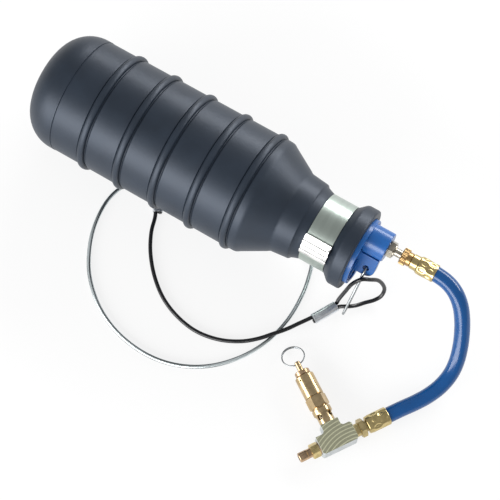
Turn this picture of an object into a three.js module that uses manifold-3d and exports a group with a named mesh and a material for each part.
// An inflatable pipe plug: a ribbed rubber sleeve clamped on a moulded end cap, with an air hose to a
// tee that holds a relief valve and an inflation valve, and a rope lanyard linked to the cap.
// Millimetres, +Z up. The plug lies along X on its ribs, capped end towards +X, with the floor at Z = 0
// and the origin below the middle of the plug.
import * as THREE from 'three';
import { mergeVertices } from 'three/addons/utils/BufferGeometryUtils.js';
import Module from 'manifold-3d';

const wasm = await Module();
wasm.setup();

// Clearance between pieces that touch on the real plug.
const gap = 0.3;

// Rubber sleeve. Lengths along the plug are counted from the closed end.
const bodyDiameter = 95;
const wall = 5;
const noseRadius = 27;
const ribCount = 5;
const ribPitch = 32.1;
const firstRib = 59;
const ribHeight = 2.3;
const ribWidth = 5.6;
const shoulderRun = 10;
const coneLength = 23.6;
const neckDiameter = 67;
const neckLength = 15;
const neckTaper = 1.5;
const bandSeatDiameter = 54.2;
const bandSeatShoulder = 6.5;
const bandSeatLength = 22;
const collarDiameter = 67;
const collarRamp = 5.6;
const collarLength = 10.4;
const neckBore = 41;
const sleeveSegments = 32;

// Steel clamp band and its folded seal.
const bandWidth = 21.4;
const bandThickness = 0.8;
const sealAngle = 142;
const sealSpan = 34;
const sealLength = 22.4;
const sealThickness = 2.2;
const sealGrooves = 3;
const sealTab = 3.2;

// Moulded end cap.
const flangeDiameter = 54;
const flangeThickness = 5.3;
const flangeSeat = 4.5;
const flangeRim = 2.4;
const rimHeight = 2.5;
const flangeRibs = 8;
const spigotLength = 40;
const spigotWall = 3.7;
const spigotBarbs = 3;
const barbHeight = 0.9;
const bossDiameter = 23.4;
const bossOffset = 14.7;
const bossAngle = 53;
const bossHeight = 19.2;
const airwayDiameter = 3.2;
const lugAngle = 240;
const lugThickness = 6.5;
const lugReach = 17.5;
const lugHeight = 17.2;
const lugHoleDiameter = 5.4;
const lugHoleReach = 9.9;
const lugHoleHeight = 10;

// Inlet nipple, swivel nut and the hose.
const pipeThread = 9.7;
const threadDepth = 9;
const nippleHex = 12;
const nippleHexLength = 4.5;
const nippleStem = 6.5;
const nippleStemLength = 10;
const nippleBore = 3;
const nutDiameter = 13.4;
const nutKnurlLength = 4.9;
const nutNeckDiameter = 10.9;
const nutNeckLength = 3.3;
const nutOverStem = 3.6;
const nutEndWall = 2;
const hoseDiameter = 12.2;
const hoseBore = 6.3;
const hoseTail = 5.6;
const tailBore = 3.2;
const tailHead = 2;
const ferruleWall = 0.65;
const frontFerruleLength = 20.5;
const frontFerruleNose = 11.8;
const frontFerruleNoseLength = 5;
const rearFerruleLength = 17.8;
const ferruleEndWall = 1.6;
const hoseInFerrule = 14.4;

// Tee of square bar, lying on the floor at the end of the hose.
const teePlace = [178.7, -126.7];
const teeTurn = 57;
const teeLength = 29.6;
const teeWidth = 14.6;
const teeThickness = 16;
const teeBranch = 14.2;
const teeBranchWidth = 14.4;
const teeFillet = 2.4;
const teeBore = 5.6;
const branchThreadDepth = 8;
const fittingNeck = 4.1;
const fittingHex = 13;
const fittingHexLength = 4.5;
const fittingShank = 8.8;
const fittingShankLength = 1.9;

// Relief valve on the branch. Its lengths are counted from the branch's end.
const valveInlet = 4;
const valveNeckDiameter = 12.5;
const valveNeckLength = 7.8;
const valvePorts = 4;
const valvePortDiameter = 4.2;
const valveCollarDiameter = 15.2;
const valveCollarLength = 4.7;
const valveGroove = 0.9;
const valveHex = 14.3;
const valveHexLength = 9.2;
const valveChamber = 8.8;
const valveSpigotWall = 1.1;
const valveSpigotLength = 4;
const barrelDiameter = 15.2;
const barrelLength = 18.2;
const barrelWall = 1.9;
const barrelHole = 1.5;
const barrelHoleFromTop = 3.6;
const capDiameter = 12;
const capHeight = 3.9;
const capShankLength = 5;
const capSlotWidth = 2;
const capSlotDepth = 1.8;
const stemDiameter = 4.4;
const stemShown = 8.2;
const stemHoleFromTip = 2.4;
const stemHoleDiameter = 1.9;
const stemRod = 3;
const stemTravel = 2.5;
const discThickness = 3.2;
const discSocket = 1.6;
const springWire = 0.8;
const springTurns = 9;
const springStepsPerTurn = 7;
const ringDiameter = 18.6;
const ringWire = 1;
const ringTurns = 1.32;
const ringPitch = 1.2;
const ringDroop = 22;

// Inflation valve on the tee's far end.
const inflationHex = 10.3;
const inflationHexLength = 6.4;
const inflationSeat = 0.7;
const inflationTube = 7.7;
const inflationTubeLength = 10.1;
const inflationBore = 4.8;
const coreLength = 8;
const coreSunk = 2.6;
const coreBore = 2.2;
const corePin = 1.3;
const corePinTip = 1.1;
const corePinTravel = 1.2;
const corePlate = 3.4;

// Ropes, their ferrules and the link to the cap.
const ropeDiameter = 3.2;
const cableDiameter = 3.3;
const strandSpacing = 3.5;
const ropeFerrule = [8.6, 5.4];
const ropeFerruleWall = 0.7;
const frontRopeFerrule = { from: [114.6, -51.9], turn: 61.9, length: 21.2 };
const rearRopeFerrule = { from: [-36.5, -38.5], turn: 120, length: 11 };
const ringFerrule = { from: [34.5, -22.6], turn: 9, length: 17, diameter: 6.6 };
const linkWire = 2;
const linkWidth = 8.6;
const linkLength = 49.6;
const linkTurn = 268;
const linkTwist = -4;
const linkSeat = 0.7;
const linkFloorGap = 0.8;

// Derived sizes.
const bodyRadius = bodyDiameter / 2;
const axisHeight = (bodyRadius + ribHeight) * Math.cos(Math.PI / sleeveSegments);
const cylinderEnd = firstRib + (ribCount - 1) * ribPitch + shoulderRun;
const neckStart = cylinderEnd + coneLength;
const seatStart = neckStart + neckLength + bandSeatShoulder;
const seatEnd = seatStart + bandSeatLength;
const faceX = seatEnd + collarRamp + collarLength;
const flangeX = faceX - flangeSeat;
const flangeFace = flangeX + gap + flangeThickness;
const bossFace = faceX + bossHeight;
const nippleX = bossFace + gap;
const stemX = nippleX + nippleHexLength;
const plugLength = stemX + nippleStemLength;
const nutX = stemX + nippleStemLength - nutOverStem;
const nutLength = nutKnurlLength + nutNeckLength;
const ferruleX = nutX + nutLength + gap;
const ferruleMouth = ferruleX + frontFerruleLength;
const ferruleRadius = hoseDiameter / 2 + gap + 0.1;
const bossY = bossOffset * Math.cos(THREE.MathUtils.degToRad(bossAngle));
const bossZ = bossOffset * Math.sin(THREE.MathUtils.degToRad(bossAngle));
const teeHeight = teeThickness / 2;
const threadBore = pipeThread + 2 * gap;

// A finish for each kind of material.
const metal = (colour, roughness) => new THREE.MeshStandardMaterial({ color: colour, roughness, metalness: 1 });
const plain = (colour, roughness) => new THREE.MeshStandardMaterial({ color: colour, roughness, metalness: 0 });
const rubber = plain(0x2b3037, 0.55);
const bluePlastic = plain(0x1f5fa8, 0.35);
const steel = metal(0xb4b8b4, 0.35);
const brass = metal(0xc9a758, 0.3);
const nickel = metal(0x9a9c88, 0.45);
const aluminium = metal(0xc4c8cc, 0.4);
const blueHose = plain(0x1d4f9e, 0.4);
const blackCoat = plain(0x1c1f22, 0.5);
const clearCoat = plain(0xaab2b6, 0.3);

// The volume of a closed mesh, negative when its faces point inwards.
function volume(position, index) {
  const [a, b, c] = [new THREE.Vector3(), new THREE.Vector3(), new THREE.Vector3()];
  let sum = 0;
  for (let i = 0; i < index.length; i += 3) {
    a.fromBufferAttribute(position, index[i]);
    b.fromBufferAttribute(position, index[i + 1]);
    c.fromBufferAttribute(position, index[i + 2]);
    sum += a.dot(b.cross(c)) / 6;
  }
  return sum;
}

// The geometry with shared vertices merged, empty triangles dropped and its faces pointing out.
function closed(geometry) {
  const bare = new THREE.BufferGeometry();
  bare.setAttribute('position', geometry.getAttribute('position'));
  if (geometry.getIndex()) bare.setIndex(geometry.getIndex());
  const merged = mergeVertices(bare);
  const all = merged.getIndex().array;
  const kept = [];
  for (let i = 0; i < all.length; i += 3) {
    const [a, b, c] = [all[i], all[i + 1], all[i + 2]];
    if (a !== b && b !== c && c !== a) kept.push(a, b, c);
  }
  if (volume(merged.getAttribute('position'), kept) < 0) kept.reverse();
  merged.setIndex(kept);
  return merged;
}

function solid(geometry) {
  const mesh = closed(geometry);
  const vertProperties = new Float32Array(mesh.getAttribute('position').array);
  const triVerts = new Uint32Array(mesh.getIndex().array);
  return new wasm.Manifold(new wasm.Mesh({ numProp: 3, vertProperties, triVerts }));
}

function fromSolid(manifold) {
  const mesh = manifold.getMesh();
  const geometry = new THREE.BufferGeometry();
  geometry.setAttribute('position', new THREE.BufferAttribute(mesh.vertProperties, 3));
  geometry.setIndex(new THREE.BufferAttribute(mesh.triVerts, 1));
  return geometry;
}

function cut(base, tools) {
  return fromSolid(tools.reduce((left, tool) => left.subtract(solid(tool)), solid(base)));
}

function join(pieces) {
  return fromSolid(pieces.map(solid).reduce((all, next) => all.add(next)));
}

// A turned shape about X from a closed outline of [x, radius] points.
function turned(outline, segments = 24) {
  const points = [...outline, outline[0]].map(([x, r]) => new THREE.Vector2(r, x));
  const geometry = new THREE.LatheGeometry(points, segments, Math.PI / segments);
  return closed(geometry.rotateZ(-Math.PI / 2));
}

const rod = (x0, x1, diameter, segments) =>
  turned([[x0, 0], [x0, diameter / 2], [x1, diameter / 2], [x1, 0]], segments);

const tube = (x0, x1, outer, inner, segments) =>
  turned([[x0, inner / 2], [x0, outer / 2], [x1, outer / 2], [x1, inner / 2]], segments);

// A section in the YZ plane drawn out along X.
function drawn(shape, x0, x1, curveSegments = 12) {
  const options = { depth: x1 - x0, bevelEnabled: false, curveSegments };
  const basis = new THREE.Matrix4().makeBasis(
    new THREE.Vector3(0, 1, 0), new THREE.Vector3(0, 0, 1), new THREE.Vector3(1, 0, 0));
  return new THREE.ExtrudeGeometry(shape, options).applyMatrix4(basis).translate(x0, 0, 0);
}

// A hexagonal bar along X with flats above and below, its ends chamfered on a cone.
function hexBar(x0, x1, acrossFlats) {
  const corner = acrossFlats / Math.sqrt(3);
  const chamfer = corner - acrossFlats / 2;
  const corners = Array.from({ length: 6 }, (_, i) => i * Math.PI / 3)
    .map((a) => new THREE.Vector2(corner * Math.cos(a), corner * Math.sin(a)));
  const cone = turned([[x0, 0], [x0, acrossFlats / 2], [x0 + chamfer * 0.6, corner + 0.01],
    [x1 - chamfer * 0.6, corner + 0.01], [x1, acrossFlats / 2], [x1, 0]], 24);
  const bar = drawn(new THREE.Shape(corners), x0, x1);
  return fromSolid(solid(bar).intersect(solid(cone)));
}

function polar(radius, degrees) {
  const a = THREE.MathUtils.degToRad(degrees);
  return [radius * Math.cos(a), radius * Math.sin(a)];
}

// A smooth route whose steps follow its own points, so that they are closer where it bends more.
class Route extends THREE.CatmullRomCurve3 {
  constructor(points) {
    super(points.map((p) => new THREE.Vector3(...p)), false, 'centripetal');
  }
  getUtoTmapping(u) {
    return u;
  }
}

function circle(radius, sides) {
  const points = Array.from({ length: sides }, (_, i) => (i + 0.5) * 2 * Math.PI / sides)
    .map((a) => new THREE.Vector2(radius * Math.cos(a), radius * Math.sin(a)));
  return new THREE.Shape(points);
}

// A tube or bar that follows a route, with a number of steps between two of its points.
function swept(points, diameter, sides, perStep, bore = 0) {
  const section = circle(diameter / 2, sides);
  if (bore) section.holes.push(circle(bore / 2, sides));
  const steps = (points.length - 1) * perStep;
  return new THREE.ExtrudeGeometry(section, { steps, extrudePath: new Route(points), curveSegments: 1 });
}

function mesh(name, geometry, material) {
  const piece = new THREE.Mesh(closed(geometry), material);
  piece.name = name;
  return piece;
}

function group(place, turn, ...pieces) {
  const g = new THREE.Group();
  g.position.set(...place);
  g.rotation.z = THREE.MathUtils.degToRad(turn);
  g.add(...pieces);
  return g;
}

// One rib's half-round points, from its closed-end side to its open-end side.
function ribProfile(x) {
  return [[-1, 0], [-0.72, 0.62], [-0.3, 1], [0.3, 1], [0.72, 0.62], [1, 0]]
    .map(([along, up]) => [x + along * ribWidth / 2, bodyRadius + up * ribHeight]);
}

function noseArc(x, radius, corner, count) {
  return Array.from({ length: count + 1 }, (_, i) => i / count * Math.PI / 2)
    .map((a) => [x + corner * (1 - Math.cos(a)), radius - corner + corner * Math.sin(a)]);
}

function rubberSleeve() {
  const neck = neckDiameter / 2;
  const seat = bandSeatDiameter / 2;
  const collar = collarDiameter / 2;
  const ribs = Array.from({ length: ribCount }, (_, i) => ribProfile(firstRib + i * ribPitch)).flat();
  const outside = [[0, 0], ...noseArc(0, bodyRadius, noseRadius, 6), ...ribs,
    [cylinderEnd - 2, bodyRadius], [cylinderEnd + 2, bodyRadius - 1.4], [neckStart - 2, neck + 1.2],
    [neckStart + 1, neck], [neckStart + neckLength, neck - neckTaper],
    [seatStart - 2, seat + 1.6], [seatStart, seat + 1.2], [seatStart, seat], [seatEnd, seat],
    [seatEnd, seat + 1.2], [seatEnd + collarRamp, collar - 0.6], [faceX - 1.2, collar], [faceX, collar - 1]];
  const flange = flangeDiameter / 2 + gap;
  const inside = [[faceX, flange], [flangeX, flange], [flangeX, neckBore / 2],
    [neckStart - 6, neckBore / 2], [cylinderEnd - 4, bodyRadius - wall - 2],
    [cylinderEnd - 10, bodyRadius - wall], ...noseArc(wall, bodyRadius - wall, noseRadius - wall, 4).reverse(),
    [wall, 0]];
  return mesh('rubber_sleeve', turned([...outside, ...inside], sleeveSegments), rubber);
}

function clampBand() {
  const inner = bandSeatDiameter + 2 * gap;
  const start = seatStart + (bandSeatLength - bandWidth) / 2;
  const band = tube(start, start + bandWidth, inner + 2 * bandThickness, inner, sleeveSegments);
  return mesh('clamp_band', band, steel);
}

function bandSeal() {
  const inner = bandSeatDiameter / 2 + 2 * gap + bandThickness;
  const outer = inner + sealThickness;
  const from = sealAngle - sealSpan / 2;
  const grooveStep = sealSpan / (sealGrooves + 1);
  const outline = [];
  const steps = 24;
  for (let i = 0; i <= steps; i++) {
    const degrees = from + sealSpan * i / steps;
    const near = Math.min(...Array.from({ length: sealGrooves },
      (_, k) => Math.abs(degrees - from - (k + 1) * grooveStep)));
    const dip = near < 1.5 ? 0.9 : 0;
    const end = Math.min(i, steps - i) === 0 ? 0.7 : 0;
    outline.push(polar(outer - Math.max(dip, end), degrees));
  }
  for (let i = 8; i >= 0; i--) outline.push(polar(inner, from + sealSpan * i / 8));
  const shape = new THREE.Shape(outline.map(([y, z]) => new THREE.Vector2(y, z)));
  const middle = seatStart + bandSeatLength / 2;
  const body = drawn(shape, middle - sealLength / 2, middle + sealLength / 2);
  const [tabY, tabZ] = polar(outer - 0.5 + sealTab / 2, from + sealSpan * 0.3);
  const tab = new THREE.BoxGeometry(1.2, 5, sealTab)
    .rotateX(THREE.MathUtils.degToRad(from + sealSpan * 0.3 - 90))
    .translate(middle + sealLength / 2 - 0.6, tabY, tabZ);
  return mesh('band_seal', join([body, tab]), steel);
}

// The cap's fin for the link, in the plane of X and its own direction, rounded at its outer corner.
function lug() {
  const shape = new THREE.Shape();
  const corner = 7;
  shape.moveTo(flangeX + 2, 0);
  shape.lineTo(flangeX + 2, lugReach);
  shape.lineTo(faceX + lugHeight - corner, lugReach);
  shape.absarc(faceX + lugHeight - corner, lugReach - corner, corner, Math.PI / 2, 0, true);
  shape.lineTo(faceX + lugHeight, 0);
  const fin = new THREE.ExtrudeGeometry(shape, { depth: lugThickness, bevelEnabled: false, curveSegments: 8 })
    .translate(0, 0, -lugThickness / 2);
  const hole = new THREE.CylinderGeometry(lugHoleDiameter / 2, lugHoleDiameter / 2, lugThickness * 2, 20)
    .rotateX(Math.PI / 2).translate(faceX + lugHoleHeight, lugHoleReach, 0);
  const turn = THREE.MathUtils.degToRad(lugAngle);
  return [fin.rotateX(turn), hole.rotateX(turn)];
}

function flangeRibBars() {
  const inner = flangeDiameter / 2 - flangeRim;
  return Array.from({ length: flangeRibs }, (_, i) => i * 360 / flangeRibs + 20).map((degrees) =>
    new THREE.BoxGeometry(rimHeight + 0.4, inner * 0.6, 1.4)
      .translate(flangeFace - (rimHeight + 0.4) / 2 - 0.3, inner * 0.72, 0)
      .rotateX(THREE.MathUtils.degToRad(degrees)));
}

function endCap() {
  const spigot = neckBore / 2 - gap;
  const bore = spigot - spigotWall;
  const rim = flangeDiameter / 2;
  const start = flangeX + gap;
  const barbStep = (spigotLength - 8) / spigotBarbs;
  const barbs = Array.from({ length: spigotBarbs }, (_, i) => start - spigotLength + 4 + i * barbStep)
    .flatMap((x) => [[x, spigot - barbHeight], [x + barbStep * 0.75, spigot],
      [x + barbStep * 0.75 + 0.1, spigot - barbHeight]]);
  const plug = turned([[start - spigotLength, bore], [start - spigotLength, spigot - 1.6], ...barbs,
    [start, spigot - barbHeight], [start, rim], [flangeFace, rim], [flangeFace, rim - flangeRim],
    [flangeFace - rimHeight, rim - flangeRim], [flangeFace - rimHeight, 0], [start + 0.5, 0],
    [start + 0.5, bore]], sleeveSegments);
  const place = [0, bossY, bossZ];
  const boss = rod(start + 1, bossFace, bossDiameter, 28).translate(...place);
  const threadHole = rod(bossFace - threadDepth - 1, bossFace + 1, threadBore, 24).translate(...place);
  const airway = rod(start - 1, bossFace, airwayDiameter, 12).translate(...place);
  const [fin, hole] = lug();
  const limit = rod(start + 1, bossFace + 5, 2 * (rim - 0.2), sleeveSegments);
  const raised = fromSolid([boss, fin, ...flangeRibBars()].map(solid)
    .reduce((all, next) => all.add(next)).intersect(solid(limit)));
  return mesh('end_cap', cut(join([plug, raised]), [threadHole, airway, hole]), bluePlastic);
}

function inletNipple() {
  const thread = rod(nippleX - threadDepth, nippleX + 1, pipeThread, 24);
  const hex = hexBar(nippleX, stemX, nippleHex);
  const stem = rod(stemX - 1, plugLength, nippleStem, 20);
  const bore = rod(nippleX - threadDepth - 1, plugLength + 1, nippleBore, 12);
  return mesh('inlet_nipple', cut(join([thread, hex, stem]), [bore]), steel);
}

function swivelNut() {
  const neckX = nutX + nutKnurlLength;
  const endX = nutX + nutLength;
  const cavity = nippleStem / 2 + gap;
  const hole = hoseTail / 2 - 0.6 + gap;
  const nut = turned([[nutX, cavity], [nutX, nutDiameter / 2 - 0.5], [nutX + 0.5, nutDiameter / 2],
    [neckX - 0.5, nutDiameter / 2], [neckX, nutDiameter / 2 - 0.5], [neckX, nutNeckDiameter / 2],
    [endX, nutNeckDiameter / 2], [endX, hole], [endX - nutEndWall, hole], [endX - nutEndWall, cavity]], 24);
  return mesh('swivel_nut', nut, brass);
}

// The barbed tail inside the hose; its head is trapped in the swivel nut.
function hoseStem() {
  const head = nippleStem / 2;
  const headX = plugLength + gap;
  const tail = hoseTail / 2;
  const neck = tail - 0.6;
  const end = ferruleMouth - 2;
  const stem = turned([[headX, tailBore / 2], [headX, head], [headX + tailHead, head], [headX + tailHead, neck],
    [ferruleX + ferruleEndWall, neck], [ferruleX + ferruleEndWall + 1, tail], [end - 1, tail], [end, tail - 0.5],
    [end, tailBore / 2]], 20);
  return mesh('hose_stem', stem, brass);
}

// A crimped cup over the hose's end, from its end wall to its mouth.
function ferrule(name, x, length, nose, noseLength, hole) {
  const outer = ferruleRadius + ferruleWall;
  const body = turned([[x, hole], [x, nose - 0.6], [x + 0.6, nose], [x + noseLength, nose + 0.2],
    [x + noseLength + 1.5, outer], [x + length - 0.4, outer], [x + length, outer - 0.3],
    [x + length, ferruleRadius], [x + length - hoseInFerrule - gap, ferruleRadius],
    [x + length - hoseInFerrule - gap, hole]], 20);
  return mesh(name, body, brass);
}

const frontFerrule = () => ferrule('front_ferrule', ferruleX, frontFerruleLength, frontFerruleNose / 2,
  frontFerruleNoseLength, hoseTail / 2 + gap);

// The hose's route in the plug's frame: straight out of one ferrule and straight into the other.
function hoseRoute() {
  const mid = plugLength / 2;
  const [y, z] = [bossY, axisHeight + bossZ];
  const front = [-hoseInFerrule, 0, 11]
    .map((along) => [ferruleMouth + along - mid, y - Math.max(along, 0) * 0.12, z - Math.max(along, 0) * 0.07]);
  const turn = THREE.MathUtils.degToRad(teeTurn);
  const rearMouth = teeLength / 2 + fittingNeck + fittingHexLength + fittingShankLength + rearFerruleLength;
  const rear = [11, 0, -hoseInFerrule].map((along) => [teePlace[0] + (rearMouth + along) * Math.cos(turn),
    teePlace[1] + (rearMouth + along) * Math.sin(turn), teeHeight]);
  const between = [[202.3, 4.4, 58.4], [210, -0.6, 53], [215.6, -6.4, 46], [220.4, -13.2, 37.4],
    [224.6, -21.6, 28.4], [227.4, -31, 20.2], [227.8, -40.4, 14.2], [225.4, -51.2, 9.9], [220.8, -61.6, 7.9],
    [215.2, -71, 7.6]];
  return [...front, ...between, ...rear];
}

const airHose = () => mesh('air_hose', swept(hoseRoute(), hoseDiameter, 12, 1, hoseBore), blueHose);

// The tee's own frame has X along its run towards the hose, Y along its branch, and Z up.
function teeBlock() {
  const [half, w, b, f] = [teeLength / 2, teeWidth / 2, teeBranchWidth / 2, teeFillet];
  const chamfer = 1.6;
  const shape = new THREE.Shape();
  shape.moveTo(-half, -w + chamfer);
  shape.lineTo(-half + chamfer, -w);
  shape.lineTo(half - chamfer, -w);
  shape.lineTo(half, -w + chamfer);
  shape.lineTo(half, w - chamfer);
  shape.lineTo(half - chamfer, w);
  shape.lineTo(b + f, w);
  shape.absarc(b + f, w + f, f, -Math.PI / 2, -Math.PI, true);
  shape.lineTo(b, teeBranch);
  shape.lineTo(-b, teeBranch);
  shape.lineTo(-b, w + f);
  shape.absarc(-b - f, w + f, f, 0, -Math.PI / 2, true);
  shape.lineTo(-half, w);
  const block = new THREE.ExtrudeGeometry(shape, { depth: teeThickness, bevelEnabled: false, curveSegments: 5 })
    .translate(0, 0, -teeHeight);
  const run = rod(-half - 1, half + 1, teeBore, 16);
  const ends = [[-half - 1, -half + threadDepth], [half - threadDepth, half + 1]]
    .map(([x0, x1]) => rod(x0, x1, threadBore, 20));
  const branch = rod(0, teeBranch + 1, teeBore, 16).rotateZ(Math.PI / 2);
  const seat = rod(teeBranch - branchThreadDepth, teeBranch + 1, threadBore, 20).rotateZ(Math.PI / 2);
  return mesh('tee_block', cut(block, [run, ...ends, branch, seat]), nickel);
}

// The fitting between the tee and the hose, with its barbed tail inside the hose.
function hoseFitting() {
  const half = teeLength / 2;
  const hexX = half + fittingNeck;
  const hexEnd = hexX + fittingHexLength;
  const mouth = hexEnd + fittingShankLength + rearFerruleLength;
  const thread = rod(half - threadDepth + 1, hexX + 1, pipeThread, 24);
  const hex = hexBar(hexX, hexEnd, fittingHex);
  const shank = rod(hexEnd - 1, hexEnd + fittingShankLength - gap, fittingShank, 20);
  const tail = rod(hexEnd, mouth - 2, hoseTail, 20);
  const bore = rod(0, mouth, tailBore, 12);
  return mesh('hose_fitting', cut(join([thread, hex, shank, tail]), [bore]), brass);
}

function rearFerrule() {
  const start = teeLength / 2 + fittingNeck + fittingHexLength + fittingShankLength;
  const nose = ferruleRadius + ferruleWall - 0.4;
  return ferrule('rear_ferrule', start, rearFerruleLength, nose, 1.5, hoseTail / 2 + gap);
}

// The relief valve's own frame has X along its axis from the tee's middle; the tee turns it onto the branch.
const neckX = teeBranch + gap;
const collarX = neckX + valveNeckLength;
const hexX = collarX + valveCollarLength + valveGroove;
const barrelX = hexX + valveHexLength + gap;
const barrelEnd = barrelX + barrelLength;
const capX = barrelEnd + gap;
const capEnd = capX + capHeight;
const stemEnd = capEnd + stemShown;
const stemHoleX = stemEnd - stemHoleFromTip;
const seatX = neckX + 0.6;
const discX = seatX + gap;

function valveBase() {
  const spigot = valveChamber / 2 + valveSpigotWall;
  const threadX = neckX - branchThreadDepth + 1;
  const body = turned([[threadX, valveInlet / 2], [threadX, pipeThread / 2],
    [neckX, pipeThread / 2], [neckX, valveNeckDiameter / 2], [collarX, valveNeckDiameter / 2],
    [collarX + 0.3, valveCollarDiameter / 2 - 0.3], [collarX + 0.6, valveCollarDiameter / 2],
    [hexX - valveGroove - 0.4, valveCollarDiameter / 2], [hexX - valveGroove, valveCollarDiameter / 2 - 0.4],
    [hexX - valveGroove, valveNeckDiameter / 2], [hexX + 1, valveNeckDiameter / 2], [hexX + 1, spigot],
    [hexX + valveHexLength + valveSpigotLength, spigot], [hexX + valveHexLength + valveSpigotLength, valveChamber / 2],
    [seatX, valveChamber / 2], [seatX, valveInlet / 2]], 20);
  const hex = hexBar(hexX, hexX + valveHexLength, valveHex);
  const chamber = rod(hexX - 1, hexX + valveHexLength + 1, valveChamber, 20);
  const portX = (seatX + discThickness + collarX) / 2;
  const ports = Array.from({ length: valvePorts }, (_, i) => (i + 0.5) * 360 / valvePorts).map((degrees) =>
    new THREE.CylinderGeometry(valvePortDiameter / 2, valvePortDiameter / 2, valveNeckDiameter, 10)
      .translate(portX, valveNeckDiameter / 2, 0).rotateX(THREE.MathUtils.degToRad(degrees)));
  return mesh('valve_base', cut(join([body, cut(hex, [chamber])]), ports), brass);
}

function valveBarrel() {
  const inner = barrelDiameter / 2 - barrelWall;
  const spigot = valveChamber / 2 + valveSpigotWall + gap;
  const wideEnd = barrelX + valveSpigotLength;
  const body = turned([[barrelX, spigot], [barrelX, barrelDiameter / 2 - 0.4], [barrelX + 0.4, barrelDiameter / 2],
    [barrelEnd - 0.8, barrelDiameter / 2], [barrelEnd, barrelDiameter / 2 - 0.8],
    [barrelEnd, Math.min(inner, spigot)], [wideEnd, Math.min(inner, spigot)], [wideEnd, spigot]], 24);
  const hole = new THREE.CylinderGeometry(barrelHole / 2, barrelHole / 2, barrelDiameter, 10)
    .translate(barrelEnd - barrelHoleFromTop, barrelDiameter / 2, 0)
    .rotateX(THREE.MathUtils.degToRad(45));
  return mesh('valve_barrel', cut(body, [hole]), brass);
}

// The slotted screw that sets the spring; the stem passes through it.
function valveCap() {
  const bore = stemDiameter / 2 + gap;
  const shank = Math.min(barrelDiameter / 2 - barrelWall, valveChamber / 2 + valveSpigotWall + gap) - gap;
  const body = turned([[capX - capShankLength, bore], [capX - capShankLength, shank], [capX, shank],
    [capX, capDiameter / 2 - 0.4], [capX + 0.4, capDiameter / 2], [capEnd - 0.5, capDiameter / 2],
    [capEnd, capDiameter / 2 - 0.5], [capEnd, bore]], 20);
  const slot = new THREE.BoxGeometry(capSlotDepth * 2, capSlotWidth, capDiameter + 2).translate(capEnd, 0, 0);
  return mesh('valve_cap', cut(body, [slot]), brass);
}

function valveStem() {
  const rodStart = discX + discThickness - discSocket + gap;
  const thick = capX - capShankLength - stemTravel;
  const body = turned([[rodStart, 0], [rodStart, stemRod / 2], [thick, stemRod / 2], [thick, stemDiameter / 2],
    [stemEnd - 0.8, stemDiameter / 2], [stemEnd, stemDiameter / 2 - 0.8], [stemEnd, 0]], 20);
  const hole = new THREE.CylinderGeometry(stemHoleDiameter / 2, stemHoleDiameter / 2, stemDiameter * 2, 14)
    .translate(stemHoleX, 0, 0);
  return mesh('valve_stem', cut(body, [hole]), brass);
}

function valveDisc() {
  const outer = valveChamber / 2 - gap;
  const socket = stemRod / 2 + 0.2;
  const top = discX + discThickness;
  const body = turned([[discX, 0], [discX, outer], [top, outer], [top, socket], [top - discSocket, socket],
    [top - discSocket, 0]], 24);
  return mesh('valve_disc', body, brass);
}

function valveSpring() {
  const start = discX + discThickness + gap + springWire / 2;
  const end = capX - capShankLength - gap - springWire / 2;
  const radius = valveChamber / 2 - gap - springWire / 2 - 0.1;
  const perTurn = springStepsPerTurn;
  const points = Array.from({ length: springTurns * perTurn + 1 }, (_, i) => {
    const [y, z] = polar(radius, i * 360 / perTurn);
    return [start + (end - start) * i / (springTurns * perTurn), y, z];
  });
  return mesh('valve_spring', swept(points, springWire, 5, 1), steel);
}

// The pull ring's frame has its origin in the stem's cross hole and Y along that hole.
function pullRing() {
  const radius = (ringDiameter - ringWire) / 2;
  const perTurn = 20;
  const count = Math.round(ringTurns * perTurn);
  const points = Array.from({ length: count + 1 }, (_, i) => {
    const degrees = 180 - ringTurns * 180 + i * 360 * ringTurns / count;
    const [x, y] = polar(radius, degrees);
    return [x + radius, y, (i / count - 0.5) * ringPitch * ringTurns];
  });
  return mesh('pull_ring', swept(points, ringWire, 8, 1), steel);
}

function reliefValve() {
  const ring = group([stemHoleX, 0, 0], 0, pullRing());
  ring.rotation.set(0, THREE.MathUtils.degToRad(ringDroop), 0);
  return group([0, 0, 0], 90, valveBase(), valveBarrel(), valveCap(), valveStem(), valveDisc(), valveSpring(), ring);
}

// The inflation valve's own frame has X along its axis from the tee's middle.
function inflationValve() {
  const half = teeLength / 2;
  const start = half + inflationSeat;
  const hexEnd = start + inflationHexLength;
  const end = hexEnd + inflationTubeLength;
  const thread = rod(half - threadDepth + 1, start + 1, pipeThread, 24);
  const hex = hexBar(start, hexEnd, inflationHex);
  const stem = turned([[hexEnd - 1, 0], [hexEnd - 1, inflationTube / 2], [end - 0.6, inflationTube / 2],
    [end, inflationTube / 2 - 0.6], [end, 0]], 24);
  const coreEnd = end - coreSunk;
  const plateRoom = corePinTip + corePinTravel + 2 * gap;
  const bore = rod(coreEnd - coreLength - plateRoom, end + 1, inflationBore, 18);
  const inlet = rod(0, end, coreBore, 12);
  const body = mesh('inflation_valve', cut(join([thread, hex, stem]), [bore, inlet]), brass);
  const coreOuter = inflationBore - 2 * gap;
  const core = mesh('valve_core', tube(coreEnd - coreLength, coreEnd, coreOuter, coreBore, 16), brass);
  const tip = end - 0.5;
  const plate = coreEnd - coreLength - gap;
  const pin = mesh('core_pin', turned([[plate - corePinTip, 0], [plate - corePinTip, corePlate / 2],
    [plate, corePlate / 2], [plate, corePin / 2], [tip, corePin / 2], [tip, 0]], 12), steel);
  return group([0, 0, 0], 180, body, core, pin);
}

function teeAssembly() {
  const parts = [teeBlock(), hoseFitting(), rearFerrule(), reliefValve(), inflationValve()];
  return group([...teePlace, teeHeight], teeTurn, ...parts);
}

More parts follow.
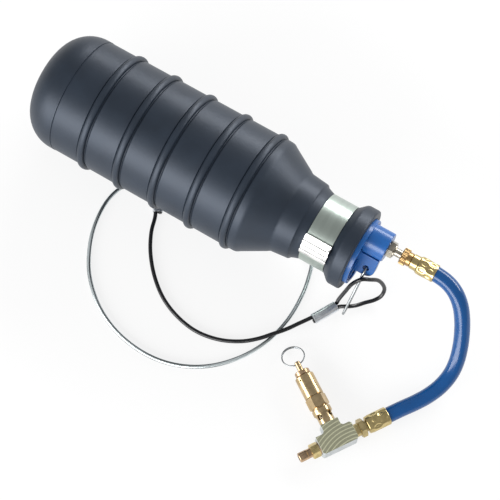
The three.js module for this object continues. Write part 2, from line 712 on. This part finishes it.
// The black rope in the floor's frame: from its tail in the rear ferrule round the rear eye, through the
// ferrule, along the floor, through the front ferrule, round the front eye and back into that ferrule.
function strand(ferruleSize, side, along) {
  const turn = THREE.MathUtils.degToRad(ferruleSize.turn);
  const [c, s] = [Math.cos(turn), Math.sin(turn)];
  const off = side * strandSpacing / 2;
  const [x, y] = ferruleSize.from;
  return [x + along * c - off * s, y + along * s + off * c, ropeFerrule[1] / 2 + 0.1];
}

function ropeRoute() {
  const [rear, front] = [rearRopeFerrule, frontRopeFerrule];
  const rearEye = [[-41.3, -26.3, 4.2], [-42.6, -23.8, 5.3], [-44, -21.6, 5.1], [-46.5, -19, 3.8], [-50, -17, 1.7],
    [-54, -16.9, 1.6], [-57.6, -18.6, 1.6], [-59.2, -21.8, 1.6], [-58, -24.6, 1.6], [-54.5, -26.4, 1.6],
    [-50, -27, 1.6], [-46, -28.2, 2.1]];
  const run = [[-36.2, -43.5, 1.8], [-32.5, -54.6, 1.6], [-24, -69.6, 1.6], [-10.3, -85.3, 1.6], [5.8, -97.4, 1.6],
    [23.3, -104.4, 1.6], [41.6, -106.9, 1.6], [60.1, -103.6, 1.6], [75.8, -96, 2.2], [86.5, -87.6, 4.1],
    [94.3, -78.9, 5.3], [101, -70.3, 4.4], [107, -60.6, 3.2]];
  const frontEye = [[124.2, -29.6, 8], [126.6, -25.4, 19.5], [130, -20.6, 33], [135, -16.3, 39.6],
    [140.3, -11.8, 35.8], [144.7, -6.8, 28.3], [148.8, -4.6, 18.9], [151.2, -5.2, 11], [151, -9.2, 5.6],
    [147.7, -14, 3], [142.4, -19.2, 1.8], [138, -24.8, 2.9], [134, -29, 5.2], [130.4, -31, 4.7]];
  return [strand(rear, -1, -1), strand(rear, -1, rear.length / 2), strand(rear, -1, rear.length), ...rearEye,
    strand(rear, 1, rear.length), strand(rear, 1, rear.length / 2), strand(rear, 1, 0), ...run,
    strand(front, 1, 0), strand(front, 1, front.length / 2), strand(front, 1, front.length + 1), ...frontEye,
    strand(front, -1, front.length + 1), strand(front, -1, front.length / 2), strand(front, -1, -1)];
}

// The clear-coated cable in the floor's frame: from its ferrule along the near side of the plug, through
// the rope's rear eye, round on the floor and back to the same ferrule.
function cableRoute() {
  const { from, turn, length, diameter } = ringFerrule;
  const within = (distance) => {
    const [x, y] = polar(distance, turn);
    return [from[0] + x, from[1] + y, diameter / 2];
  };
  return [within(length / 2 - gap), within(0), [28.5, -23.3, 2.3], [20, -23.4, 1.65], [0, -23.2, 1.65],
    [-18, -23, 1.65], [-34, -22.5, 1.65], [-43.6, -22, 1.65], [-47.4, -21.9, 1.9],
    [-51, -22, 3], [-55.2, -22.4, 4.7], [-59, -22.9, 5.3], [-62.7, -24.3, 4.8], [-66.8, -26.9, 3.2],
    [-71.2, -31.3, 1.9], [-74, -37, 1.65], [-76.3, -46, 1.65], [-76.6, -58, 1.65], [-73, -77, 1.65],
    [-65.5, -94.6, 1.65], [-54, -111.6, 1.65], [-35.3, -127.9, 1.65], [-13.6, -138.2, 1.65],
    [9.7, -142.5, 1.65], [31.2, -141.1, 1.65], [51.1, -134.2, 1.65], [68, -122.8, 1.65],
    [83.2, -105.1, 1.65], [93.1, -84.7, 1.65], [97.8, -61.6, 1.65], [97.2, -38.6, 1.65], [94.2, -23.5, 1.65],
    [90.4, -12.4, 1.65], [84.6, -4.6, 1.65], [77.2, -2.2, 1.65], [70, -4.9, 1.65], [63, -11.2, 1.7],
    [57.6, -16.9, 2.6], within(length + 1.5), within(length), within(length / 2 + gap)];
}

// An oval pressed ferrule that holds two strands side by side.
function pressedFerrule(name, { from, turn, length }) {
  const [wide, high] = ropeFerrule;
  const stadium = (w, h) => {
    const shape = new THREE.Shape();
    shape.absarc((w - h) / 2, 0, h / 2, -Math.PI / 2, Math.PI / 2, false);
    shape.absarc(-(w - h) / 2, 0, h / 2, Math.PI / 2, 3 * Math.PI / 2, false);
    return shape;
  };
  const bore = stadium(wide - 2 * ropeFerruleWall, high - 2 * ropeFerruleWall);
  const body = cut(drawn(stadium(wide, high), 0, length, 10), [drawn(bore, -1, length + 1, 10)]);
  return group([...from, high / 2 + 0.1], turn, mesh(name, body, aluminium));
}

function ringSleeve() {
  const { from, turn, length, diameter } = ringFerrule;
  const sleeve = tube(0, length, diameter, cableDiameter + 2 * gap, 20);
  return group([...from, diameter / 2], turn, mesh('ring_ferrule', sleeve, aluminium));
}

// The oval link hangs from the lug's hole down to the floor.
function capLink() {
  const half = linkWidth / 2 + linkWire / 2;
  const straight = linkLength / 2 - half;
  const bend = (sign) => Array.from({ length: 9 }, (_, i) => (i / 8 - 0.5) * Math.PI)
    .map((a) => new THREE.Vector3(sign * (straight + half * Math.cos(a)), sign * half * Math.sin(a), 0));
  const loop = new THREE.CatmullRomCurve3([...bend(1), ...bend(-1)], true, 'centripetal');
  loop.getUtoTmapping = (u) => u;
  const wire = new THREE.TubeGeometry(loop, 36, linkWire / 2, 8, true);
  const [holeY, holeZ] = polar(lugHoleReach, lugAngle);
  const top = new THREE.Vector3(faceX + lugHoleHeight - plugLength / 2, holeY, axisHeight + holeZ);
  const drop = top.z - linkWire / 2 - linkFloorGap;
  const reach = Math.sqrt(linkLength ** 2 - drop ** 2);
  const turn = THREE.MathUtils.degToRad(linkTurn);
  const along = new THREE.Vector3(reach * Math.cos(turn), reach * Math.sin(turn), -drop).normalize();
  const [flatY, flatZ] = polar(1, lugAngle - 90);
  const across = new THREE.Vector3(0, flatY, flatZ).addScaledVector(along, -flatY * along.y - flatZ * along.z);
  across.normalize().applyAxisAngle(along, THREE.MathUtils.degToRad(linkTwist));
  const normal = along.clone().cross(across);
  const middle = top.clone().addScaledVector(along, linkLength / 2 - linkSeat);
  wire.applyMatrix4(new THREE.Matrix4().makeBasis(along, across, normal).setPosition(middle));
  return mesh('cap_link', wire, steel);
}

const inlet = group([0, bossY, bossZ], 0, inletNipple(), swivelNut(), hoseStem(), frontFerrule());
const body = [rubberSleeve(), clampBand(), bandSeal(), endCap()];
const plug = group([-plugLength / 2, 0, axisHeight], 0, ...body, inlet);
const lanyard = group([0, 0, 0], 0,
  mesh('lanyard_rope', swept(ropeRoute(), ropeDiameter, 8, 1), blackCoat),
  pressedFerrule('rope_ferrule_front', frontRopeFerrule),
  pressedFerrule('rope_ferrule_rear', rearRopeFerrule),
  mesh('ring_cable', swept(cableRoute(), cableDiameter, 8, 2), clearCoat),
  ringSleeve(),
  capLink());

export default group([0, 0, 0], 0, plug, airHose(), teeAssembly(), lanyard);
